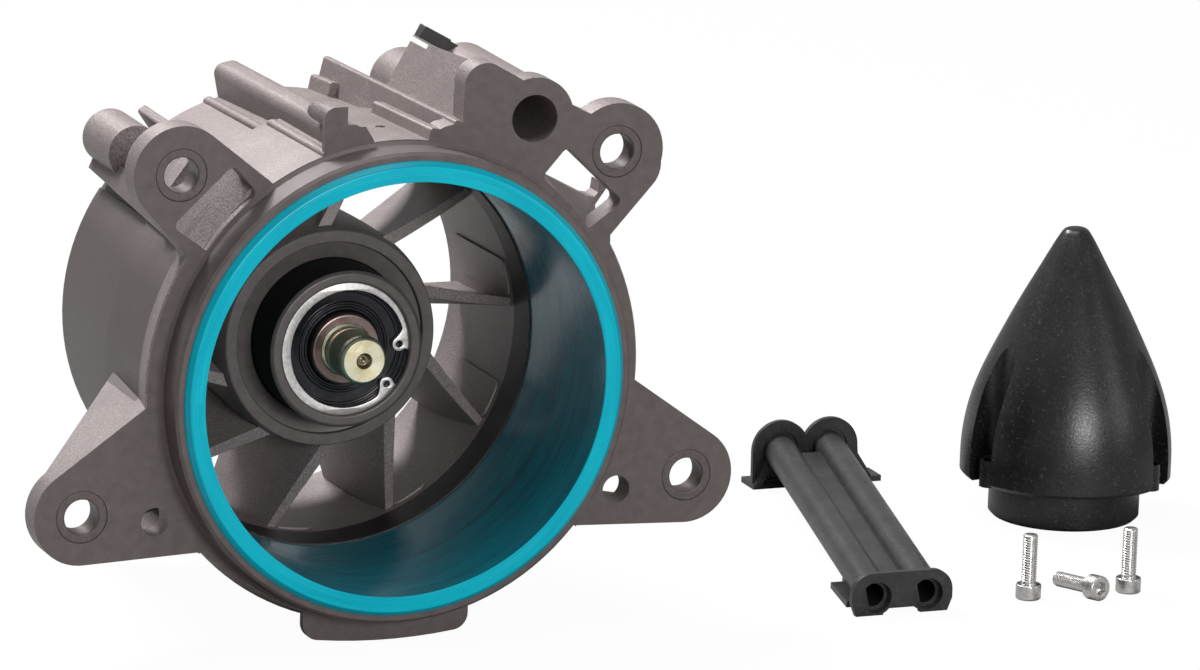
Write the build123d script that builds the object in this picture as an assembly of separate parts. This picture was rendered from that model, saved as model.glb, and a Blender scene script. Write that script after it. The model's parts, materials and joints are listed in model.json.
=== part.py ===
# Jet pump of a personal watercraft, shown as a kit: the pump, its tail cone, its tube adapter and three screws.
# Millimetres. X to the right seen from the intake, Y along the shaft from the intake to the outlet, Z up.
# The origin is on the shaft axis, in the face of the flange.
from build123d import *
from math import atan2, cos, degrees, pi, radians, sin, sqrt, tan
import os

os.makedirs("parts", exist_ok=True)

# Driving dimensions of the duct
BORE_R = 80.5           # wear ring bore, a 161 mm pump
RING_WALL, RING_CHAMFER, RING_RELIEF = 7.8, 1.9, 0.7
RING_R = BORE_R + RING_WALL
SPIGOT_WALL = 3.2
SPIGOT_R = RING_R + SPIGOT_WALL
DUCT_IN_STEP, DUCT_OUT_STEP = 0.8, 2.8
DUCT_IN_R = BORE_R - DUCT_IN_STEP       # duct wall behind the ring, at the vanes
DUCT_OUT_R = BORE_R - DUCT_OUT_STEP     # duct wall at the outlet
RING_LIP_Y = -17.8      # foremost point of the pump
SPIGOT_Y = -15.3        # front of the spigot round the ring
LAND_END_Y = 28.0       # behind here the ring is bored a little wider than the land that the impeller runs in
SHOULDER_Y = 63.0       # where the ring ends
VANE_Y = 76.7           # where the cast duct begins
OUTLET_Y = 141.7        # rear face of the housing

# Driving dimensions of the housing's outside
LUG_T = 11.0            # thickness of the flange plate and its lugs
SIDE_WALL, TOP_WALL, LOW_WALL = 11.0, 4.9, 6.8     # the wall outside the ring: the flange's sides, top and bottom
FLANGE_R, FLANGE_MID_X = RING_R + SIDE_WALL, 1.0    # the flange's sides lie a little off the shaft axis
FLANGE_LOW_R = RING_R + LOW_WALL
BARREL_R = RING_R + TOP_WALL            # thin top sector of the barrel
OUT_WALL, TOP_OUT_WALL = 7.3, 5.9       # its wall outside the duct, at the outlet
BARREL_OUT_R = DUCT_OUT_R + OUT_WALL
TOP_OUT_R = DUCT_OUT_R + TOP_OUT_WALL
PART_Y, TOP_STEP, SIDE_STEP = 65.0, 3.4, 1.4    # the barrel's raised front part ends here
TOP_SECTOR, LOW_SECTOR = (34.0, 146.0), (219.5, 320.5)
LOW_EYE, LOW_EYE_R = (122.5, -45.5), 18.8
LOW_CORNER = (75.3, -62.4)              # where a lower lug's lower edge meets the flange
UPPER_MID_X = 1.7       # the upper lugs stand evenly about this line
TOP_EYE, TOP_EYE_R = (87.5, 84.0), 18.8
RIGHT_ARM, LEFT_ARM = 20.4, 18.8        # from an upper eye's centre to its outer arm
RAMP_ROOT = ((76.0, 45.0), (66.0, 54.0), (54.0, 72.0))     # outlines of the webs behind the windows
RIGHT_RAMP = ((58.8, 76.2), (65.0, 72.2), (86.7, 60.8), (89.6, 60.3), (91.4, 61.7), (92.0, 66.0), (96.5, 64.5),
              (84.5, 51.5), (83.5, 47.5))
LEFT_RAMP = ((57.5, 78.0), (67.0, 89.0), (75.0, 83.0), (86.5, 68.0), (86.5, 60.0), (80.0, 51.0), (79.0, 47.5))
BUSH_R, BUSH_HOLE_R = 10.2, 6.75
JACK_HOLE, JACK_HOLE_R = (93.5, -49.3), 5.5
PORT, PORT_R, PORT_WALL_R, PORT_DEPTH = (55.1, 98.5), 9.2, 15.9, 72.0
TOWER_ANGLE, TOWER_W, TOWER_BACK, TOWER_TOP = 61.0, 24.8, 80.0, 118.4
FLOOR_Z = -102.4
NOZZLE_BOSSES = ((-66.5, 67.5, 10.8, 32.0), (54.0, 84.0, 13.0, 40.0), (-63.0, -70.5, 10.8, 32.0), (63.0, -70.5, 10.8, 32.0))
NOZZLE_HOLE_R, NOZZLE_HOLE_DEPTH = 3.4, 22.0

# Driving dimensions of the stator and hub
VANES = 10
VANE_LEAD_Y = (72.0, 80.0)      # leading edge at the hub and at the duct wall
VANE_LEAD = (19.5, 4.9)         # its angles there
VANE_TRAIL_Y = 135.0
VANE_TRAIL = (1.5, 0.7)
VANE_T_LEAD, VANE_T_TRAIL = (5.2, 3.3), (3.0, 3.0)
PAD_Y, PAD_W, PAD_T, PAD_ANGLE = (80.0, 130.0), 15.5, 0.8, 12.0
HUB_LINE = ((42.6, 67.6), (43.9, 73.0), (44.6, 80.0), (44.8, 90.0), (44.7, 100.0), (43.7, 126.0), (43.0, 138.0))
HUB_REAR_Y = HUB_LINE[-1][1]
CAVITY_R, CAVITY_Y = 38.0, 100.0
BOSS_R, BOSS_Y = 31.0, 48.7
BEARING_R, BEARING_BORE_R, BEARING_W = 26.0, 12.5, 15.0
FRONT_BEARING_Y, REAR_BEARING_Y = 61.0, 104.0
SHOULDER_R = 22.5
CIRCLIP_Y, CIRCLIP_T, CIRCLIP_R = 51.0, 2.0, 27.2
SEAT_GAP = 0.02         # radial gap of a press fit
FIT_GAP = 0.05          # radial running gap of a shaft in a hole

# Driving dimensions of the joint between hub and tail cone
REGISTER_R, REGISTER_DEPTH = 30.9, 17.0
SEAL_WIRE_R, SEAL_Y = 1.3, 132.0
CONE_HOLE_PCD_R, CONE_TAP_R, CONE_TAP_DEPTH = 37.0, 2.55, 16.0

# Driving dimensions of the rotor
SHAFT_NOSE_Y, THREAD_R, NOSE_FACE_R = 29.5, 9.45, 8.2
SLEEVE_R, SLEEVE_BORE_R, SLEEVE_Y = 14.2, 10.2, 49.3
HEAD_R, HEAD_T = 16.5, 6.0
BALLS, BALL_R, PITCH_R = 9, 3.97, 19.25
RACE_HEIGHT = 2.35      # from the ball circle to a ring's shoulder
CAGE_T, CAGE_W = 2.8, 11.0

# Driving dimensions of the tail cone, upwards from the floor it stands on
CONE_LINE = ((42.9, 25.7), (41.9, 37.5), (39.1, 49.9), (34.2, 62.8), (28.2, 75.6), (20.6, 90.7), (13.0, 104.6),
             (5.7, 117.5), (0.0, 119.6))
CONE_SKIRT_Z, CONE_SPIGOT_R = 16.5, 30.7
CONE_HOLES = (-169.5, -49.5, 70.5)
CONE_RECESS_R, CONE_TAB_R = 7.4, 4.2
SCREW_SEAT_Z, SCREW_R, SCREW_L = 26.5, 3.0, 20.0
SCREW_HEAD_R, SCREW_HEAD_T, HEX_AF, HEX_DEPTH = 5.0, 6.0, 5.0, 3.0

# Driving dimensions of the tube adapter
TUBE_R, TUBE_BORE_R, TUBE_PITCH = 6.65, 4.6, 21.8
SOCKET_R, SOCKET_DEPTH, SOCKET_WALL = 6.2, 4.0, 1.0
NEAR_T, NEAR_W, NEAR_H, NEAR_CORNER = 2.6, 42.6, 16.9, 8.6
FAR_T, LOBE_R, FAR_FOOT, FOOT_T = 2.2, 12.4, 13.0, 2.4
TUBE_NEAR = (197.1, FLOOR_Z + SOCKET_R + SOCKET_WALL)
TUBE_FAR = (236.8, -86.7)

# Places of the loose pieces on the floor
CONE_AT = (333.5, 104.4)
ADAPTER_NEAR_Y, ADAPTER_FAR_Y = -17.8, 172.0
SCREWS_STANDING = ((265.3, -10.5), (307.9, -11.9))
SCREW_LYING_HEAD, SCREW_LYING_TIP = (291.2, -22.0), (282.9, 6.6)


def slab(outline, y0, y1):
    """A flat outline drawn in X and Z, made solid from y0 to y1."""
    return extrude(Plane.XZ.offset(-y0) * outline, amount=-(y1 - y0))


def rod(x, z, r, y0, y1):
    """A round bar along the shaft direction."""
    return slab(Pos(x, z) * Circle(r), y0, y1)


def turned(points):
    """A solid of revolution about the shaft axis from points of radius and Y."""
    return revolve(Plane.XY * make_face(Polyline(*points, close=True)), axis=Axis.Y)


def ring(r_out, r_in, y0, y1):
    """A plain tube on the shaft axis."""
    return rod(0, 0, r_out, y0, y1) - rod(0, 0, r_in, y0 - 1, y1 + 1)


def polar(r, angle):
    return (r * cos(radians(angle)), r * sin(radians(angle)))


def about_shaft(shape, angle):
    """Turns a shape about the shaft axis, from X towards Z."""
    return Rot(0, -angle, 0) * shape


def outline(*points, r=0.0):
    """A closed outline in X and Z with all its corners rounded."""
    face = make_face(Polyline(*points, close=True))
    return fillet(face.vertices(), r) if r else face


def flange_sector(r, start, end):
    """The flange's rim over a sector, from one angle about the shaft to another."""
    rim = make_face(Polyline((60, 0), (r - 0.6, 0), (r, 0.8), (r - 1.2, 9.0), (60, 9.0), close=True))
    return about_shaft(revolve(Plane.XY * rim, axis=Axis.Y, revolution_arc=end - start), end)


def barrel():
    """The tapered casing round the duct with its flange, thinner on top, with a raised front part."""
    inner, shell = 60.0, FLANGE_R - FLANGE_MID_X - 1.2
    body = turned([(inner, 0), (BARREL_R, 0), (BARREL_R - 1.4, PART_Y), (BARREL_R - 1.4 - TOP_STEP, PART_Y + 1.6),
                   (TOP_OUT_R, OUTLET_Y), (inner, OUTLET_Y)])
    side = make_face(Polyline((inner, 0.5), (FLANGE_LOW_R - 1.2, 0.5), (shell, 9.0), (BARREL_R + 0.8, PART_Y - 5),
                              (BARREL_R + 0.8 - SIDE_STEP, PART_Y - 3.5), (BARREL_OUT_R, OUTLET_Y - 2.0),
                              (inner, OUTLET_Y - 2.0), close=True))
    (right, left), (low_left, low_right) = TOP_SECTOR, LOW_SECTOR
    body += about_shaft(revolve(Plane.XY * side, axis=Axis.Y, revolution_arc=360 - (left - right)), right)
    body += flange_sector(FLANGE_LOW_R, low_left, low_right)
    to_middle = Pos(FLANGE_MID_X, 0, 0)
    body += to_middle * flange_sector(FLANGE_R, left, low_left)
    body += to_middle * flange_sector(FLANGE_R, low_right, right + 360)
    return body


def lower_lug():
    """The right lower lug: a triangular plate with webs that widen towards the barrel."""
    (cx, cz), r = LOW_EYE, LOW_EYE_R
    slope, reach = 35.5, 52.0
    nx, nz = sin(radians(slope)), cos(radians(slope))
    tip = (cx + r * nx, cz + r * nz)
    root = (tip[0] - reach * nz, tip[1] + reach * nx)
    plate = make_face(Polyline(tip, root, (66, -20), (44, -54), (57.1, -75.9), LOW_CORNER, (cx, cz - r), (cx, cz),
                               close=True))
    lug = slab(plate + Pos(cx, cz) * Circle(r), 0, LUG_T)
    top_plane = Plane(origin=(tip[0], 0, tip[1]), x_dir=(-nz, 0, nx), z_dir=(nx, 0, nz))
    web = make_face(Polyline((0, 0), (0, -LUG_T), (reach - 2, -50), (reach + 6, -50), (reach + 6, 0), close=True))
    lug += extrude(top_plane * web, amount=-7.0)
    run, rise = cx - LOW_CORNER[0], LOW_CORNER[1] - (cz - r)
    low_plane = Plane(origin=(cx, 0, cz - r), x_dir=(-run, 0, rise), z_dir=(-rise, 0, -run))
    low_web = make_face(Polyline((0, 0), (0, LUG_T), (run, 45), (58, 45), (58, 8), (run, 0), close=True))
    lug += extrude(low_plane * low_web, amount=-6.0)
    return lug


def upper_lug(reach):
    """An upper lug drawn to the right of its middle line: an eye on two arms, the outer one this far from its centre."""
    (cx, cz), r = TOP_EYE, TOP_EYE_R
    side, crown = 48.3, 38.8
    outer = (cx + reach * sin(radians(side)), cz - reach * cos(radians(side)))
    foot = (outer[0] - 25.3 * cos(radians(side)), outer[1] - 25.3 * sin(radians(side)))
    inner = (cx - r * sin(radians(crown)), cz + r * cos(radians(crown)))
    root = (inner[0] - 30 * cos(radians(crown)), inner[1] - 30 * sin(radians(crown)))
    plate = make_face(Polyline(outer, foot, (foot[0], foot[1] - 4), (64, 44), (36, 66), root, inner, (cx, cz),
                               close=True))
    shoulder_r = 12.0
    out = reach - shoulder_r
    shoulder = Pos(cx + out * sin(radians(side)), cz - out * cos(radians(side))) * Circle(shoulder_r)
    return slab(plate + Pos(cx, cz) * Circle(r) + shoulder, 0, LUG_T)


def lug_window():
    """The cored triangle between an upper lug's eye and the ring, with a thin wall left over the bore."""
    shape = outline((67.1, 87.0), (57.7, 76.2), (66.0, 60.0), (76.5, 54.2), (90.8, 64.5), r=2.6)
    floor_r = BARREL_R + 2.3
    wall = turned([(0, -2), (floor_r, -2), (floor_r, LUG_T), (BARREL_R - 1.2, 60), (0, 60)])
    return slab(shape, -1, 58) - Pos(-UPPER_MID_X, 0, 0) * wall


def window_ramp(room):
    """The sloping web behind a window, from its inner edge at the front up to the eye's arm at the back."""
    start, end = (59.0, 76.2), (77.3, 54.5)
    length = sqrt((end[0] - start[0]) ** 2 + (end[1] - start[1]) ** 2)
    along = Vector((end[0] - start[0]) / length, 0, (end[1] - start[1]) / length)
    out = Vector(-along.Z, 0, along.X)
    plane = Plane(origin=Vector(start[0], 0, start[1]) - along * 10, x_dir=out, z_dir=along)
    rise = make_face(Polyline((-8, 4), (0, 4), (11.3, 26), (26, 30), (26, 36), (-8, 36), close=True))
    if abs(plane.y_dir.Y - 1) > 0.01:
        rise = mirror(rise, Plane.XZ)
    web = extrude(plane * rise, amount=length + 24)
    return web & slab(outline(*room), 2, 36)


def crown():
    """What stands on top of the front plate: hook tab, port lobe and its peak."""
    hook = make_face(Polyline((-29.4, 84), (-29.4, 106.8), (-20.3, 106.8), (-20.3, 84), close=True))
    hook = fillet(hook.vertices().sort_by(Axis.Y)[-2:].sort_by(Axis.X)[0], 5.0)
    lip = make_face(Polyline((-29.4, 98.0), (-29.4, 106.8), (-20.3, 106.8), (-20.3, 98.0), close=True))
    lip = fillet(lip.vertices().sort_by(Axis.X)[:2], 4.2)
    slope = make_face(Polyline((-1, 120), (-1, 106.9), (2, 106.9), (17, 105.4), (20.5, 101), (20.5, 120), close=True))
    hook_body = slab(lip, 0, 20) - Pos(-25, 0, 0) * extrude(Plane.YZ * slope, amount=8, both=True)
    hook_body += slab(hook, 0, 2.6)
    ramp = make_face(Polyline((0, 84), (0, 98.9), (7, 98.9), (40, 92), (40, 84), close=True))
    sill_face = outline((-22, 84), (-22, 98.9), (-13.0, 98.9), (-9.6, 93.4), (-9.6, 84))
    sill = slab(sill_face, 0, 40) & (Pos(-15, 0, 0) * extrude(Plane.YZ * ramp, amount=8, both=True))
    peak = make_face(Polyline((26.1, 84), (26.1, 107.0), (26.8, 114.5), (35.0, 112.5), (46.0, 112.0), (48, 84),
                              close=True))
    lobe = peak + Pos(35.0, 112.3) * Circle(8.7) + Pos(*PORT) * Circle(PORT_WALL_R)
    lobe += make_face(Polyline((38.5, 120.2), (47.0, 115.4), (50.0, 113.5), (60, 100), (70.5, 103.0), (75.0, 100.5),
                               (79.4, 98.6), (86, 90), (76, 86), (44, 74), (36, 100), close=True))
    lobe += make_face(Polyline((15.2, 88), (16.1, 93.0), (16.9, 96.4), (18.8, 97.2), (27.0, 98.9), (40, 98), (40, 86),
                               close=True))
    return hook_body + sill + slab(lobe, 0, LUG_T) + port_tube()


def port_tube():
    """The cooling port's tube behind the front plate."""
    return rod(*PORT, PORT_WALL_R - 2.4, LUG_T - 1, PORT_DEPTH + 6)


def long_rib(front, rear, width, depth, y0=0.0, y1=OUTLET_Y, r=1.2):
    """A rib along the barrel whose crest runs from one point in X and Z to another."""
    ends = []
    for (x, z), y in ((front, y0), (rear, y1)):
        turn = degrees(atan2(z, x)) - 90
        section = Rectangle(width, depth, align=(Align.CENTER, Align.MAX))
        section = fillet(section.vertices().sort_by(Axis.Y)[-2:], r)
        ends.append(Plane.XZ.offset(-y) * Pos(x, z) * Rot(0, 0, turn) * section)
    return loft(ends)


def top_ribs():
    """The ribs that brace the top of the barrel between the flange and the nozzle face."""
    ribs = long_rib((-20.5, 99.5), (-18.8, 94.6), 11.5, 22, r=4.2)
    ribs += long_rib((24.6, 99.2), (23.6, 94.6), 3.6, 18)
    ribs += long_rib((20.0, 88.6), (19.6, 87.4), 6.0, 12, y0=120.0)
    ribs += long_rib((15.6, 96.6), (12.4, 95.8), 5.0, 12, y1=54.0)
    ribs += long_rib(polar(97.0, 125.5), polar(94.6, 124.4), 4.2, 16)
    ribs += long_rib((-28.6, 90.2), (-28.4, 88.9), 4.0, 6, y1=PART_Y - 2, r=1.6)
    ribs += long_rib((-30.0, 85.2), (-26.5, 80.9), 4.0, 6, y0=PART_Y + 2, r=1.6)
    return ribs


def side_strip():
    """The flat strip down the left of the barrel, from the upper lug to the nozzle boss, with an undercut outer edge."""
    ends = []
    for corner, y in (((-82.8, 52.6), 0.0), ((-74.6, 55.2), OUTLET_Y)):
        section = Pos(*corner) * Rot(0, 0, 67) * Rectangle(9.0, 14.0, align=(Align.MIN, Align.MAX))
        ends.append(Plane.XZ.offset(-y) * section)
    return loft(ends)


def tower():
    """The box on the port tube, set square to the radius, with a slot under its top lip."""
    side = make_face(Polyline((0, 80), (0, 122.0), (57, TOWER_TOP), (TOWER_BACK, TOWER_TOP), (TOWER_BACK, 80),
                              close=True))
    body = Pos(-TOWER_W / 2, 0, 0) * extrude(Plane.YZ * side, amount=TOWER_W / 2, both=True)
    slot = Pos(-TOWER_W, TOWER_BACK, TOWER_TOP - 1.8) * Box(18, 34, 2.0)
    return about_shaft(body - slot, TOWER_ANGLE - 90)


def nozzle_bosses():
    shapes = [rod(x, z, r, OUTLET_Y - length, OUTLET_Y) for x, z, r, length in NOZZLE_BOSSES]
    for x, z, r, length in NOZZLE_BOSSES:
        turn = degrees(atan2(z, x))
        neck = Rectangle(34, 2 * r * 0.8, align=(Align.MAX, Align.CENTER))
        shapes.append(slab(Pos(x, z) * Rot(0, 0, turn) * neck, OUTLET_Y - length, OUTLET_Y))
    return Part() + shapes


def foot():
    """The bowed pad under the flange, the block behind it, and a narrow foot under the outlet that keeps it level."""
    left, right, low, bow = -33.2, 33.9, FLOOR_Z + 0.2, 2.6
    pad = make_face([ThreePointArc((left, low + bow), (0, low), (right, low + bow)),
                     Line((right, low + bow), (right, -84)), Line((right, -84), (left, -84)),
                     Line((left, -84), (left, low + bow))])
    pad = fillet(pad.vertices().sort_by(Axis.Y)[:2], 6.5)
    side = make_face(Polyline((3, -84), (3, -100), (5, FLOOR_Z), (26, FLOOR_Z), (26, -84), close=True))
    block = extrude(Plane.YZ * side, amount=20, both=True)
    rear = slab(Pos(0, (FLOOR_Z - 80) / 2) * Rectangle(28, -FLOOR_Z - 80), 118, OUTLET_Y)
    return slab(pad, 0, 3.5) + block + rear


def eye_centres():
    """The centres of the four lug eyes in X and Z."""
    (lx, lz), (tx, tz) = LOW_EYE, TOP_EYE
    return ((-lx, lz), (lx, lz), (UPPER_MID_X - tx, tz), (UPPER_MID_X + tx, tz))


def pump_housing():
    body = barrel() + foot() + crown() + top_ribs() + side_strip() + nozzle_bosses() + tower()
    body += lower_lug()
    body += mirror(lower_lug(), Plane.YZ)
    to_middle = Pos(UPPER_MID_X, 0, 0)
    body += to_middle * (upper_lug(RIGHT_ARM) + mirror(upper_lug(LEFT_ARM), Plane.YZ))
    spigot = turned([(84, 6), (84, SPIGOT_Y), (SPIGOT_R - 1.1, SPIGOT_Y), (SPIGOT_R, SPIGOT_Y + 1.1),
                     (SPIGOT_R, -1.2), (SPIGOT_R + 1.2, 0), (SPIGOT_R + 1.2, 6)])
    body += spigot
    body -= to_middle * lug_window()
    body -= to_middle * mirror(lug_window(), Plane.YZ)
    body += to_middle * window_ramp(RIGHT_RAMP + RAMP_ROOT)
    body += to_middle * mirror(window_ramp(LEFT_RAMP + RAMP_ROOT), Plane.YZ)
    body -= duct_space()
    for x, z in eye_centres():
        body -= rod(x, z, BUSH_R + SEAT_GAP, -1, LUG_T + 1)
    for side in (-1, 1):
        body -= rod(side * JACK_HOLE[0], JACK_HOLE[1], JACK_HOLE_R, -1, 60)
    body += Part() + [pad - vane for pad, vane in zip(duct_pads(), raw_vanes())]
    body -= rod(*PORT, PORT_R, -1, PORT_DEPTH)
    body -= Pos(2.5, 26, 90) * Cylinder(2.0, 16)
    for x, z, r, length in NOZZLE_BOSSES:
        body -= rod(x, z, NOZZLE_HOLE_R, OUTLET_Y - NOZZLE_HOLE_DEPTH, OUTLET_Y + 1)
    return body


def hub_outside(y0, y1, inner=0.0):
    """The solid inside the hub shell's outer line, from its front to its rear face."""
    curve = Spline(*HUB_LINE)
    edges = [curve, Line((HUB_LINE[-1]), (inner, y1)), Line((inner, y1), (inner, y0)), Line((inner, y0), HUB_LINE[0])]
    return revolve(Plane.XY * make_face(edges), axis=Axis.Y)


def stator_vane():
    """One vane: it leans at the front and runs out straight, thinner towards the duct wall."""
    sections = []
    steps = 7
    for i in range(steps + 1):
        y = VANE_LEAD_Y[0] - 4 + (VANE_TRAIL_Y + 1 - VANE_LEAD_Y[0] + 4) * i / steps
        ends, halves = [], []
        for k, radius in ((0, HUB_LINE[3][0]), (1, DUCT_IN_R)):
            s = (y - VANE_LEAD_Y[k]) / (VANE_TRAIL_Y - VANE_LEAD_Y[k])
            angle = VANE_TRAIL[k] + (VANE_LEAD[k] - VANE_TRAIL[k]) * (1 - s) ** 2
            ends.append(Vector(*polar(radius, angle)))
            halves.append((VANE_T_LEAD[k] + (VANE_T_TRAIL[k] - VANE_T_LEAD[k]) * s) / 2)
        along = (ends[1] - ends[0]).normalized()
        across = Vector(-along.Y, along.X)
        inner, outer = ends[0] - along * 6, ends[1] + along * 4
        corners = [inner + across * halves[0], outer + across * halves[1],
                   outer - across * halves[1], inner - across * halves[0]]
        sections.append(Plane.XZ.offset(-y) * make_face(Polyline(*corners, close=True)))
    return loft(sections)


def raw_vanes():
    """The vanes before they are cut to the duct and the hub."""
    vane = stator_vane()
    return [about_shaft(vane, 360.0 / VANES * k) for k in range(VANES)]


def duct_pads():
    """The low pads on the duct wall beside the vanes, one above each vane's root."""
    y0, y1 = PAD_Y
    wall = turned([(DUCT_OUT_R - 4, y0), (DUCT_IN_R + 1, y0), (DUCT_IN_R + 1, y1), (DUCT_OUT_R - 4, y1)]) & duct_space()
    taper = (DUCT_IN_R - DUCT_OUT_R) / (OUTLET_Y - VANE_Y)
    inner = [DUCT_IN_R - taper * (y - VANE_Y) - PAD_T for y in (y0 - 1, y1 + 1)]
    wall -= turned([(0, y0 - 1), (inner[0], y0 - 1), (inner[1], y1 + 1), (0, y1 + 1)])
    patch = Plane.YZ * Pos((y0 + y1) / 2, 0) * RectangleRounded(y1 - y0, PAD_W, 3.0)
    pad = wall & extrude(patch, amount=100)
    return [about_shaft(pad, PAD_ANGLE + 360.0 / VANES * k) for k in range(VANES)]


def stator_vanes():
    """The ring of vanes between the hub shell and the duct wall, each its own solid."""
    room = turned([(30, VANE_LEAD_Y[0] - 3.2), (DUCT_IN_R + 5, VANE_LEAD_Y[1] + 1.1),
                   (DUCT_IN_R + 5, VANE_TRAIL_Y), (30, VANE_TRAIL_Y)])
    room = room & duct_space()
    room -= hub_outside(HUB_LINE[0][1], HUB_REAR_Y)
    vane = stator_vane() & room
    return [about_shaft(vane, 360.0 / VANES * k) for k in range(VANES)]


def stator_hub():
    """The hub: outer shell, bearing boss standing forward in its cavity, and the web that joins them."""
    hub = hub_outside(HUB_LINE[0][1], HUB_REAR_Y)
    hub -= rod(0, 0, CAVITY_R, HUB_LINE[0][1] - 1, CAVITY_Y)
    hub += turned([(0, BOSS_Y), (BOSS_R - 1.2, BOSS_Y), (BOSS_R, BOSS_Y + 1.2), (BOSS_R, CAVITY_Y + 3),
                   (0, CAVITY_Y + 3)])
    seat = BEARING_R + SEAT_GAP
    hub -= rod(0, 0, seat, BOSS_Y - 1, FRONT_BEARING_Y + BEARING_W)
    hub -= turned([(0, BOSS_Y - 1), (seat + 1.6, BOSS_Y - 1), (seat, BOSS_Y + 0.8), (0, BOSS_Y + 0.8)])
    hub -= rod(0, 0, CIRCLIP_R + 0.1, CIRCLIP_Y, CIRCLIP_Y + CIRCLIP_T)
    hub -= rod(0, 0, SHOULDER_R, FRONT_BEARING_Y, REAR_BEARING_Y + 1)
    hub -= rod(0, 0, seat, REAR_BEARING_Y, HUB_REAR_Y - REGISTER_DEPTH + 1)
    hub -= rod(0, 0, REGISTER_R, HUB_REAR_Y - REGISTER_DEPTH, HUB_REAR_Y + 1)
    hub -= rod(0, 0, REGISTER_R - 0.2 + 2 * SEAL_WIRE_R, SEAL_Y - SEAL_WIRE_R, SEAL_Y + SEAL_WIRE_R)
    for angle in CONE_HOLES:
        x, z = polar(CONE_HOLE_PCD_R, angle)
        hub -= rod(x, z, CONE_TAP_R, HUB_REAR_Y - CONE_TAP_DEPTH, HUB_REAR_Y + 1)
    return hub


def duct_space():
    """The space inside the housing: ring seat, duct and outlet."""
    return turned([(0, SPIGOT_Y - 9), (RING_R + SEAT_GAP, SPIGOT_Y - 9), (RING_R + SEAT_GAP, SHOULDER_Y),
                   (BORE_R + 0.1, SHOULDER_Y), (DUCT_IN_R, VANE_Y), (DUCT_OUT_R, OUTLET_Y),
                   (DUCT_OUT_R, OUTLET_Y + 9), (0, OUTLET_Y + 9)])


def wear_ring():
    relief_r = BORE_R + RING_RELIEF
    return turned([(BORE_R, RING_LIP_Y), (RING_R - RING_CHAMFER, RING_LIP_Y), (RING_R, RING_LIP_Y + RING_CHAMFER),
                   (RING_R, SHOULDER_Y), (relief_r, SHOULDER_Y), (relief_r, LAND_END_Y + RING_RELIEF),
                   (BORE_R, LAND_END_Y)])


def flange_bushes():
    """The four steel bushes pressed into the lugs."""
    bushes = []
    for x, z in eye_centres():
        bushes.append(rod(x, z, BUSH_R, 0, LUG_T) - rod(x, z, BUSH_HOLE_R, -1, LUG_T + 1))
    return bushes


def tower_cap():
    """The black plastic bar across the back of the tower, stepped in its middle."""
    stand = (Align.CENTER, Align.CENTER, Align.MIN)
    left = Pos(-TOWER_W * 0.75, TOWER_BACK - 3.2, TOWER_TOP) * Box(TOWER_W / 2, 6.0, 5.0, align=stand)
    right = Pos(-TOWER_W * 0.25, TOWER_BACK - 3.2, TOWER_TOP) * Box(TOWER_W / 2, 6.0, 4.4, align=stand)
    cap = about_shaft(left + right, TOWER_ANGLE - 90)
    return cap - port_tube()


def retaining_ring():
    """An internal circlip with two eyes, widest opposite its gap."""
    mid = -21.0
    shift = polar(0.6, mid)
    flat = Circle(CIRCLIP_R) - Pos(*shift) * Circle(24.4)
    wedge = make_face(Polyline((0, 0), polar(40, mid - 14), polar(40, mid + 14), close=True))
    flat -= wedge
    for angle in (mid - 20.8, mid + 20.9):
        flat += Pos(*polar(22.6, angle)) * Circle(3.0)
        flat += Rot(0, 0, angle) * Pos(24.6, 0) * Rectangle(3.4, 4.0)
    for angle in (mid - 20.8, mid + 20.9):
        flat -= Pos(*polar(22.4, angle)) * Circle(1.25)
    flat = flat & Circle(CIRCLIP_R)
    return slab(flat, CIRCLIP_Y, CIRCLIP_Y + CIRCLIP_T)


def lip_seal():
    """The shaft seal: a rubber-covered case with a lip on the sleeve and a seat for its spring."""
    front, back = CIRCLIP_Y + CIRCLIP_T, FRONT_BEARING_Y
    lip = SLEEVE_R + FIT_GAP
    return turned([(BEARING_R, front), (BEARING_R, back), (BEARING_R - 1.8, back), (BEARING_R - 1.8, front + 2.2),
                   (lip + 3.6, front + 2.2), (lip + 2.4, front + 3.6), (lip + 2.4, front + 6.4),
                   (lip + 1.6, front + 6.4), (lip, front + 5.0), (lip + 0.9, front + 2.4), (lip, front + 0.8),
                   (lip + 0.7, front)])


def seal_garter_spring():
    front = CIRCLIP_Y + CIRCLIP_T
    wire = 0.8
    profile = Plane.XY * Pos(SLEEVE_R + FIT_GAP + 2.4 + wire, front + 5.0) * Circle(wire)
    return revolve(profile, axis=Axis.Y)


def race_cut(y):
    """The ball groove shared by both rings of a bearing."""
    profile = Plane.XY * Pos(PITCH_R, y + BEARING_W / 2) * Circle(BALL_R + FIT_GAP)
    return revolve(profile, axis=Axis.Y)


def outer_ring(y):
    shoulder = PITCH_R + RACE_HEIGHT
    return turned([(BEARING_R, y), (BEARING_R, y + BEARING_W), (shoulder, y + BEARING_W), (shoulder, y)]) - race_cut(y)


def inner_ring(y):
    shoulder = PITCH_R - RACE_HEIGHT
    return turned([(BEARING_BORE_R, y), (BEARING_BORE_R, y + BEARING_W), (shoulder, y + BEARING_W),
                   (shoulder, y)]) - race_cut(y)


def around(count, radius, shape):
    return [about_shaft(Pos(radius, 0, 0) * shape, 360.0 / count * k) for k in range(count)]


def balls(y):
    return around(BALLS, PITCH_R, Pos(0, y + BEARING_W / 2, 0) * Sphere(BALL_R))


def cage(y):
    """The ball cage: one ring with a round pocket for each ball."""
    mid = y + BEARING_W / 2
    body = ring(PITCH_R + CAGE_T / 2, PITCH_R - CAGE_T / 2, mid - CAGE_W / 2, mid + CAGE_W / 2)
    for pocket in around(BALLS, PITCH_R, Pos(0, mid, 0) * Rot(0, 90, 0) * Cylinder(BALL_R + FIT_GAP, 8)):
        body -= pocket
    return body


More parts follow.
